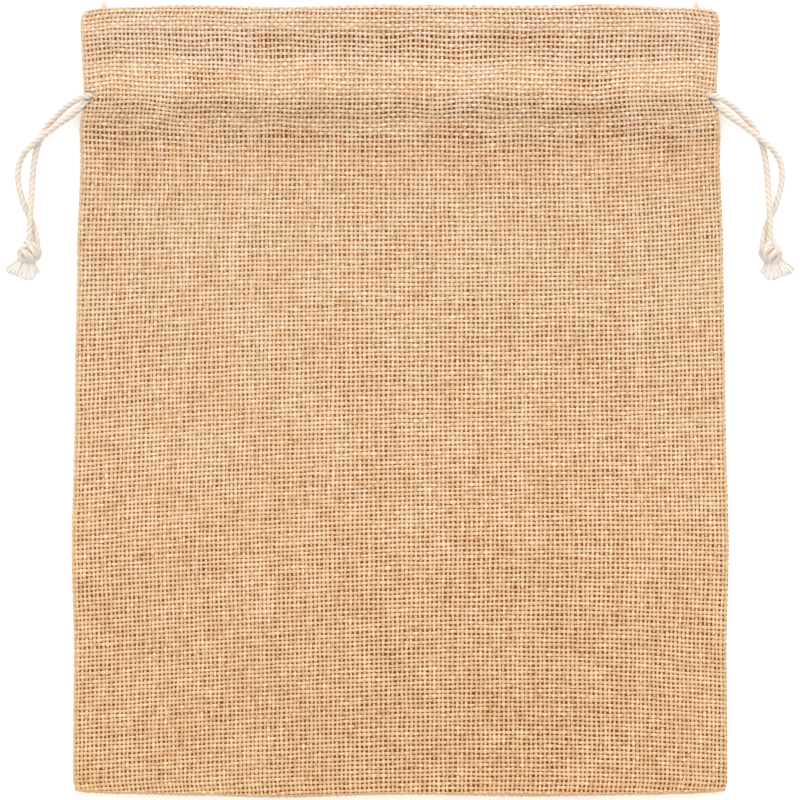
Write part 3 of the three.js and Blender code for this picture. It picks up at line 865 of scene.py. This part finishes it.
def wander(random, yarns, places, shortest, longest):
    """Smooth uneven waves along each of some yarns: values[yarn, place], about 1 in size."""
    total = np.zeros((yarns, len(places)))
    for _ in range(WAVES):
        wave = 2 * np.pi / np.exp(random.uniform(np.log(shortest), np.log(longest), (yarns, 1)))
        total += np.sin(places * wave + random.uniform(0, 2 * np.pi, (yarns, 1)))
    return total / (WAVES / 2) ** 0.5


def ripples(random, warp, along):
    """Small waves that neighbouring rows of the header share."""
    levels = np.arange(RIPPLE["along"][0], RIPPLE["along"][-1] + RIPPLE_STEP, RIPPLE_STEP)
    waves = wander(random, len(levels), warp, *RIPPLE_WAVES)
    sizes = read(RIPPLE, "along", "size", along)
    return sizes * np.array([np.interp(row, levels, wave) for row, wave in zip(along, waves.T)])


# %% [markdown]
# ## Puckers
# Where the header was gathered and let out again, it has creases that shade and catch the light. Moving
# single yarns for that would tangle them, so the tone of the yarns and of the holes is painted darker there
# as painted shade, and paler in places as painted light. The places are chosen from the photo.

# %% Puckers
# Painted shade, and painted light where the tone is above 0, in the creases of the gathered header
PUCKER_SHADES = table(
    "x y tone reach_x reach_y",
    (-86, 146, -0.25, 6, 3),
    (86, 146, -0.25, 6, 3),
    (-45, 138.5, -0.65, 8, 1.6),
    (-23, 138, -0.8, 5, 3),
    (1, 138, -0.2, 12, 3),
    (36, 138.8, -0.55, 6, 1.8),
    (54, 138.8, -0.55, 5, 1.8),
    (-100, 127, 0.25, 7, 3),
    (102, 127, 0.25, 7, 3),
    (-76, 123, -0.75, 8, 5),
    (74, 123, -0.75, 8, 5),
    (42, 123.5, 0.2, 16, 4),
    (-115, 111.6, -0.4, 7, 1.8),
    (-73, 112, -0.6, 12, 2.2),
    (-31, 110.5, -0.55, 8, 3),
    (74, 111, -0.65, 11, 2.6),
    (-40, 102.3, -0.65, 15, 1.8),
    (0, 103, 0.35, 12, 3),
    (20, 102.3, -0.45, 5, 2.2),
    (86, 104, -0.7, 8, 3),
    (105, 98.5, -0.75, 5, 3),
    (-90, 106, -0.25, 9, 3),
    (-31, 94.5, -0.2, 8, 3),
    (42, 91, -0.25, 10, 4),
)
YARN_PUCKER_SHADE = 0.6


def pucker_shade(x, y):
    """How much paler or darker than its row a place is painted, as light and shade of the creases."""
    total = np.zeros_like(x)
    for middle_x, middle_y, tone, reach_x, reach_y in zip(*PUCKER_SHADES.values()):
        total = total + tone * soft_spot(x, y, middle_x, middle_y, reach_x, reach_y)
    return total


print(f"{len(PUCKER_SHADES['x'])} puckers in and below the header")

# %% [markdown]
# ## Yarns
# Each warp yarn goes over one weft yarn and under the next, and its strip rises and dips by half a
# millimetre to do so. Round tubes would take several times the faces, and a strip with a raised middle
# looks much the same from where a bag is seen. The yarns end at the bottom seam, at the slits and a
# little way down inside the mouth.

# %% Where the cloth is
# A slit's upper and lower edges, from its inner end out to the side
SLIT = table(
    "x upper lower",
    (116.8, 117.5, 117.3),
    (117.8, 118.1, 116.9),
    (118.6, 118.2, 115.8),
    (119.6, 118.2, 114.2),
    (121.2, 118.2, 112.5),
    (126, 119.4, 107.2),
)
# The yarns go on for this length inside the mouth. Further out than the hem they stop on top of the fold.
HEM_SHOWN = 12.0
HEM_YARNS_PAST = 3
FOLD_SHARE = 0.5


def in_slit(points, lip):
    """Whether a point lies in the wedge that opens a side seam, past a lip along its edges."""
    x, y = np.abs(points[..., 0]), points[..., 1]
    upper, lower = (np.interp(x, SLIT["x"], SLIT[column]) for column in ("upper", "lower"))
    return (x > SLIT["x"][0] + lip / 2) & (y < upper - lip) & (y > lower + lip)


def shown(panel, across, along, points, lip=0):
    """Which points of a panel's cloth are there."""
    past = along - panel.mouth(across)
    near = np.abs(points[..., 0]) < HEM_HALF + HEM_YARNS_PAST
    inner = np.where(near, np.pi * FOLD + HEM_SHOWN, FOLD_SHARE * np.pi * FOLD)
    there = (along > panel.bottom(across)) & (past < inner)
    return there & ~in_slit(points, lip) if panel is front else there


# %% Yarn strips
# Heights from the cloth's outer face: over a crossing, under one, and the drop to a strip's sides
CREST, TROUGH = -0.02, -0.56
YARN_DROP = 0.34
FLANK = 0.27


def yarn_strips(panel, across, along, high, width, fine, weft):
    """Yarn strips through crossings [yarn, crossing], three points wide, and which of their steps are there.

    A fine strip has two stations at each crossing, and any other has one."""
    stations = (-FLANK, FLANK) if fine else (0.0,)
    index = np.arange(across.shape[1])[:, None] + stations
    index = np.clip(index.ravel(), 0, across.shape[1] - 1)
    low = np.minimum(index.astype(int), across.shape[1] - 2)
    share = index - low

    def between(values):
        return values[:, low] * (1 - share) + values[:, low + 1] * share

    nearest = np.rint(index).astype(int)
    across, along, width = between(across), between(along), width[:, nearest]
    crown = np.where(high[:, nearest], CREST, TROUGH)
    normal = panel.normal(across, along)
    order = panel.outward * (-1 if weft else 1)
    rows = []
    for step in (-order, 0, order):
        beside = step * width / 2
        points = panel.lay(across + (0 if weft else beside), along + (beside if weft else 0))
        rows.append(points + normal * (crown - abs(step) * YARN_DROP)[..., None])
    there = shown(panel, across, along, rows[1])
    return np.stack(rows, 2), there[:, 1:] & there[:, :-1], nearest


# %% How uneven the yarns are
FIRST_WEFT, LAST_WEFT = -168, 172
WARP_MARGIN = 0.5
LAST_WARP = 0.8
SEAM_ROW = 0.4
# How far yarns wander, in waves from a shortest to a longest length, and at each crossing
WARP_WANDER, WARP_WAVES, WARP_JITTER = 0.1, (10, 60), 0.035
WEFT_WANDER, WEFT_WAVES, WEFT_JITTER = 0.1, (12, 70), 0.04
YARN_WIDTH = {"warp": 0.9, "weft": 1.0}
WIDTH_SPREAD, WIDTH_WANDER, WIDTH_WAVES = 0.035, 0.1, (5, 60)
OVER_WIDTH, UNDER_WIDTH = 1.06, 0.94
TONE_SPREAD, TONE_WANDER, TONE_WAVES, TONE_JITTER = 0.05, 0.12, (6, 50), 0.14
# Yarns are paler towards the mouth. Where they lie over another they are paler, as painted light, and where
# they dip under one darker, as painted shade
FADE = 0.32
CROSSING_LIGHT_AND_SHADE = 0.15
ROW_TONE = table(
    "along warp weft",
    (60, 0, 0),
    (76, -0.06, -0.06),
    (86, -0.16, -0.16),
    (96, -0.3, -0.24),
    (103, -0.33, 0.08),
    (111, -0.38, 0.0),
    (116, -0.3, 0.12),
    (122, -0.25, 0.2),
)


def crossings(random):
    """Where the warp and weft yarns of a panel cross: across and along for [warp, weft], and their places."""
    reach = FLAT_HALF + ROLL_LENGTH - WARP_MARGIN
    warp = yarn_places(WARP_PITCH, "across", -reach, reach - LAST_WARP, random)
    weft = yarn_places(WEFT_PITCH, "along", FIRST_WEFT, LAST_WEFT, random)
    across = warp[:, None] + WARP_WANDER * wander(random, len(warp), weft, *WARP_WAVES)
    across += random.normal(0, WARP_JITTER, across.shape)
    along = weft + climb(across, np.broadcast_to(weft, across.shape))
    along = along + edge_sag(across, along)
    along = along + ripples(random, warp, along)
    drift = WEFT_WANDER * wander(random, len(weft), warp, *WEFT_WAVES).T
    along += drift + random.normal(0, WEFT_JITTER, across.shape)
    return across, along, warp, weft


def yarn_widths(random, kind, high, places):
    """How wide each yarn is at each crossing."""
    spread = WIDTH_SPREAD * random.normal(size=(len(high), 1))
    uneven = np.exp(spread + WIDTH_WANDER * wander(random, len(high), places, *WIDTH_WAVES))
    return YARN_WIDTH[kind] * uneven * np.where(high, OVER_WIDTH, UNDER_WIDTH)


def yarn_tones(random, kind, high, places, a, b):
    """How pale each yarn is at each crossing, which lies at a across and b along."""
    spread = TONE_SPREAD * random.normal(size=(len(high), 1))
    tone = spread + TONE_WANDER * wander(random, len(high), places, *TONE_WAVES)
    tone = tone + TONE_JITTER * random.normal(size=tone.shape) + FADE * b / HALF_LENGTH
    tone = tone + np.where(high, CROSSING_LIGHT_AND_SHADE, -CROSSING_LIGHT_AND_SHADE)
    return tone + read(ROW_TONE, "along", kind, b) + YARN_PUCKER_SHADE * pucker_shade(a, b)


# %% Weave
def weave(panel, prefix, random, fine):
    """The warp and weft of one panel. The front's are fine, and each is two meshes."""
    across, along, warp, weft = crossings(random)
    weft_over = (np.arange(len(warp))[:, None] + np.arange(len(weft))) % 2 == 0
    made = []
    for kind in ("warp", "weft"):
        turned = kind == "weft"
        a, b, high = (across.T, along.T, weft_over.T) if turned else (across, along, ~weft_over)
        if turned:
            # One more weft yarn lies along the bottom seam
            a = np.vstack([a, warp])
            b = np.vstack([b, panel.bottom(warp) + SEAM_ROW])
            high = np.vstack([high, high[-2:-1]])
        places = warp if turned else weft
        width = yarn_widths(random, kind, high, places)
        strips, there, nearest = yarn_strips(panel, a, b, high, width, fine, turned)
        tone = yarn_tones(random, kind, high, places, a, b)[:, nearest, None]
        parts = np.array_split(np.arange(len(a)), 2 if fine else 1)
        for number, part in enumerate(parts, 1):
            keep = np.repeat(there[part, :, None], 2, 2)
            name = f"{prefix}_{kind}_{number}" if fine else f"{prefix}_{kind}"
            made.append(strip_mesh(name, strips[part], yarn_jute, keep=keep, tone=tone[part]))
    print(f"{prefix}: {len(warp)} warp and {len(weft)} weft yarns")
    return made


# %% Weave both panels
FRONT_SEED = 11
BACK_SEED = 23

front_yarns = weave(front, "front", np.random.default_rng(FRONT_SEED), fine=True)
back_yarns = weave(back, "back", np.random.default_rng(BACK_SEED), fine=False)
for piece in front_yarns + back_yarns:
    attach(piece, "root")

# %% [markdown]
# ## Ground of the cloth
# Under the yarns lies a thin brown sheet, the deep of the weave, painted as shade. In the real bag the inner
# layers close the holes and lie in shade behind them. Without it, one would look through the front to the
# table. It also carries on round the mouth as the hem, down to its lower edge inside the bag, and it is the
# piece that stands for the panel as cloth. Its tone is painted light and shade in the holes: paler where a
# cord, a stitch line or a turned edge lies close behind.

# %% Tone of the holes and shape of the hem
# Painted light and shade in the holes, row by row
HOLE_SHADES = table(
    "row tone",
    (-138, -0.25),
    (0, 0.0),
    (65, 0.1),
    (89, 0.12),
    (97, -0.02),
    (102.2, -0.2),
    (106.4, 0.25),
    (110, -0.3),
    (113.4, -0.35),
    (117.5, 0.3),
    (122.5, 0.22),
    (126.8, 0.4),
    (130.6, -0.22),
    (133.5, -0.15),
    (139.5, -0.25),
    (143.4, 0.5),
    (146.5, 0.02),
    (150.5, 0.15),
)
GROUND = -0.95
SLIT_LIP = 0.6
# The hem down from the mouth: it lies close to the panel, and stands off in the casing
HEM = table("y casing", (146, 0), (138, 0), (132, 0), (122.5, 1), (111.5, 1), (102, 0), (99.5, 0))
HEM_OFF = 1.9
HEM_SHEET_PAST = 1
FRONT_CASING = 6.8
BACK_CASING = 4.7
print(f"the hem ends {HEM['y'][0] - HEM['y'][-1]:.1f} mm below its first row inside the mouth")

# %% Ground sheets
ROLL_POINTS = 14
BESIDE_POINTS = 14
MIDDLE_POINTS = 88
BODY_ROWS = np.linspace(-143, 148, 130)
SLIT_ROWS = np.linspace(104, 122, 26)
BOTTOM_ROWS = 9
FOLD_ROWS = 7


def ground_grid(panel):
    """Where the points of a panel's sheet lie on its cloth: across and along for [row, column]."""
    rolled = np.linspace(FLAT_HALF, FLAT_HALF + ROLL_LENGTH, ROLL_POINTS)
    beside = np.linspace(HEM_HALF, FLAT_HALF, BESIDE_POINTS)[:-1]
    side = np.concatenate([beside, rolled])
    across = np.concatenate([-side[::-1], np.linspace(-HEM_HALF, HEM_HALF, MIDDLE_POINTS)[1:-1], side])
    low, high = panel.bottom(across), panel.mouth(across)
    top = low + ROLL_LENGTH
    heights = np.sort(np.concatenate([BODY_ROWS, SLIT_ROWS]))
    shares = (heights[1:-1] - heights[0]) / (heights[-1] - heights[0])
    rows = [low + step for step in np.linspace(0, ROLL_LENGTH, BOTTOM_ROWS)]
    rows += [top + (high - top) * share for share in (*shares, 1)]
    rows += [high + FOLD * angle for angle in np.linspace(0, np.pi, FOLD_ROWS)[1:]]
    along = np.array(rows)
    return np.broadcast_to(across, along.shape), along


def hem_rows(panel, x, casing_level):
    """The rows of the hem, below the points at x where the fold ends."""
    rows = []
    for row, casing in zip(HEM["y"], HEM["casing"]):
        y = np.full_like(x, row)
        z = casing_level(x, y) if casing else panel.face(x, y) - panel.outward * HEM_OFF
        rows.append(np.stack([x, y, z], 1))
    return rows


def ground_sheet(panel, name, casing_level):
    """The sheet that a panel's yarns lie on, with its hem, which lies at casing_level(x, y) in the casing."""
    across, along = ground_grid(panel)
    points = panel.lay(across, along) + GROUND * panel.normal(across, along)
    there = shown(panel, across, along, points, SLIT_LIP)
    x = points[-1, :, 0]
    hem = hem_rows(panel, x, casing_level)
    points = np.concatenate([points, hem])
    hem_there = np.abs(x) < HEM_HALF + HEM_SHEET_PAST
    there = np.concatenate([there, np.broadcast_to(hem_there, (len(hem), len(x)))])
    keep = (there[1:, 1:] & there[:-1, 1:] & there[1:, :-1] & there[:-1, :-1])[None]
    x, y = points[..., 0], points[..., 1]
    tone = (read(HOLE_SHADES, "row", "tone", y - climb(x, y)) + pucker_shade(x, y))[None]
    return strip_mesh(name, points[None], jute_shade, keep=keep, tone=tone)


# %% [markdown]
# ## Ends of the seams
# At both corners of the mouth the photo shows a small pale tip: a corner of the side seam's allowance that
# stands out above the mouth. Next to it, inside, lies the folded end of the allowance. They could be woven
# too, but only a few millimetres of them show, so they are flattened tubes that close to a point.

# %% Seam ends
TIP = table(
    "y z radius",
    (146.5, 4.8, 1.2),
    (150.9, 4.8, 1.2),
    (152.5, 4.9, 0.9),
    (153.3, 4.9, 0.5),
    (153.6, 4.9, 0.02),
)
TIP_X = 113.9
TIP_SPREAD, TIP_FLATTEN = 1, 0.55
TIP_TONE = 1
ALLOWANCE_END = table(
    "y z radius",
    (136, 4.0, 1.0),
    (149.4, 4.0, 1.0),
    (150.2, 4.0, 0.9),
    (150.5, 4.0, 0.5),
    (150.6, 4.0, 0.01),
)
ALLOWANCE_X = 116.4
ALLOWANCE_SPREAD, ALLOWANCE_FLATTEN = 4.6, 1.1
ALLOWANCE_TONE = 0
END_STATIONS = 48


def flat_ends(shape, x, spread, flatten):
    """A flattened tube along Y at each side of the bag, with its heights and sizes from a table."""
    y = np.linspace(shape["y"][0], shape["y"][-1], END_STATIONS)
    strips = []
    for side in SIDES.values():
        line = np.stack([np.full_like(y, side * x), y, read(shape, "y", "z", y)], 1)
        tube, _ = rope(line, read(shape, "y", "radius", y), ROPE_LAY, 0)
        strips.append(line[:, None] + (tube - line[:, None]) * (spread, 1, flatten))
    return np.array(strips)


tips = flat_ends(TIP, TIP_X, TIP_SPREAD, TIP_FLATTEN)
allowances = flat_ends(ALLOWANCE_END, ALLOWANCE_X, ALLOWANCE_SPREAD, ALLOWANCE_FLATTEN)
end_strips = np.concatenate([tips, allowances])
end_tones = np.repeat([TIP_TONE, ALLOWANCE_TONE], len(SIDES))[:, None, None]
seam_ends = strip_mesh("seam_ends", end_strips, yarn_jute, closed=True, tone=end_tones)
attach(seam_ends, "root")
front_yarns.append(seam_ends)

front_ground = ground_sheet(front, "front_ground", lambda x, y: FRONT_CASING + bow(x, y))
back_ground = ground_sheet(back, "back_ground", lambda x, y: np.full_like(x, BACK_CASING))

panels = (front_ground, "front_panel", front_yarns), (back_ground, "back_panel", back_yarns)
for ground, node, yarns in panels:
    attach(ground, "root")
    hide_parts(node)

# %% [markdown]
# ## Table and light
# A pale table and a bright, soft room, with one large lamp far beyond the mouth of the bag. The light comes
# from the top of the picture, as the shading of the casing shows: its upper flank is light and its lower one
# dark. The table glows a little, so that it stays as white as the photo's ground without more lamps, which
# would wash the weave out.

# %% Table
TABLE_HALF_M = 6
TABLE_DROP_M = 0.0002
TABLE_COLOUR = "#fbfaf9"
TABLE_ROUGHNESS = 0.9
TABLE_GLOW = 0.2
WHITE = "#ffffff"

corners = [(x * TABLE_HALF_M, y * TABLE_HALF_M, 0) for x, y in ((-1, -1), (1, -1), (1, 1), (-1, 1))]
floor_mesh = bpy.data.meshes.new("table")
floor_mesh.from_pydata(corners, [], [(0, 1, 2, 3)])
floor = bpy.data.objects.new("table", floor_mesh)
floor.location.z = -TABLE_DROP_M
scene.collection.objects.link(floor)
# White lacquered board: even, matte and a touch warm
board = bpy.data.materials.new("table")
board.use_nodes = True
surface = board.node_tree.nodes["Principled BSDF"].inputs
surface["Base Color"].default_value = linear(TABLE_COLOUR)
surface["Roughness"].default_value = TABLE_ROUGHNESS
surface["Specular IOR Level"].default_value = SHINE
surface["Emission Color"].default_value = linear(WHITE)
surface["Emission Strength"].default_value = TABLE_GLOW
floor_mesh.materials.append(board)
print(f"table {2 * TABLE_HALF_M} m wide")

# %% Light
ROOM_STRENGTH = 1.0
LAMP_SIZE_M = 6.6
LAMP_WATTS = 232
LAMP_PLACE_M = (0, 4.3, 4.0)
LAMP_TURN = -47

world = bpy.data.worlds.new("room")
scene.world = world
world.use_nodes = True
room = world.node_tree.nodes["Background"].inputs
room["Color"].default_value = linear(WHITE)
room["Strength"].default_value = ROOM_STRENGTH
lamp_data = bpy.data.lights.new("lamp", "AREA")
lamp_data.size = LAMP_SIZE_M
lamp_data.energy = LAMP_WATTS
lamp = bpy.data.objects.new("lamp", lamp_data)
lamp.location = LAMP_PLACE_M
lamp.rotation_euler = (np.radians(LAMP_TURN), 0, 0)
scene.collection.objects.link(lamp)
scene.view_settings.view_transform = "Standard"
print(f"lamp {lamp.location.length:.1f} m from the bag")
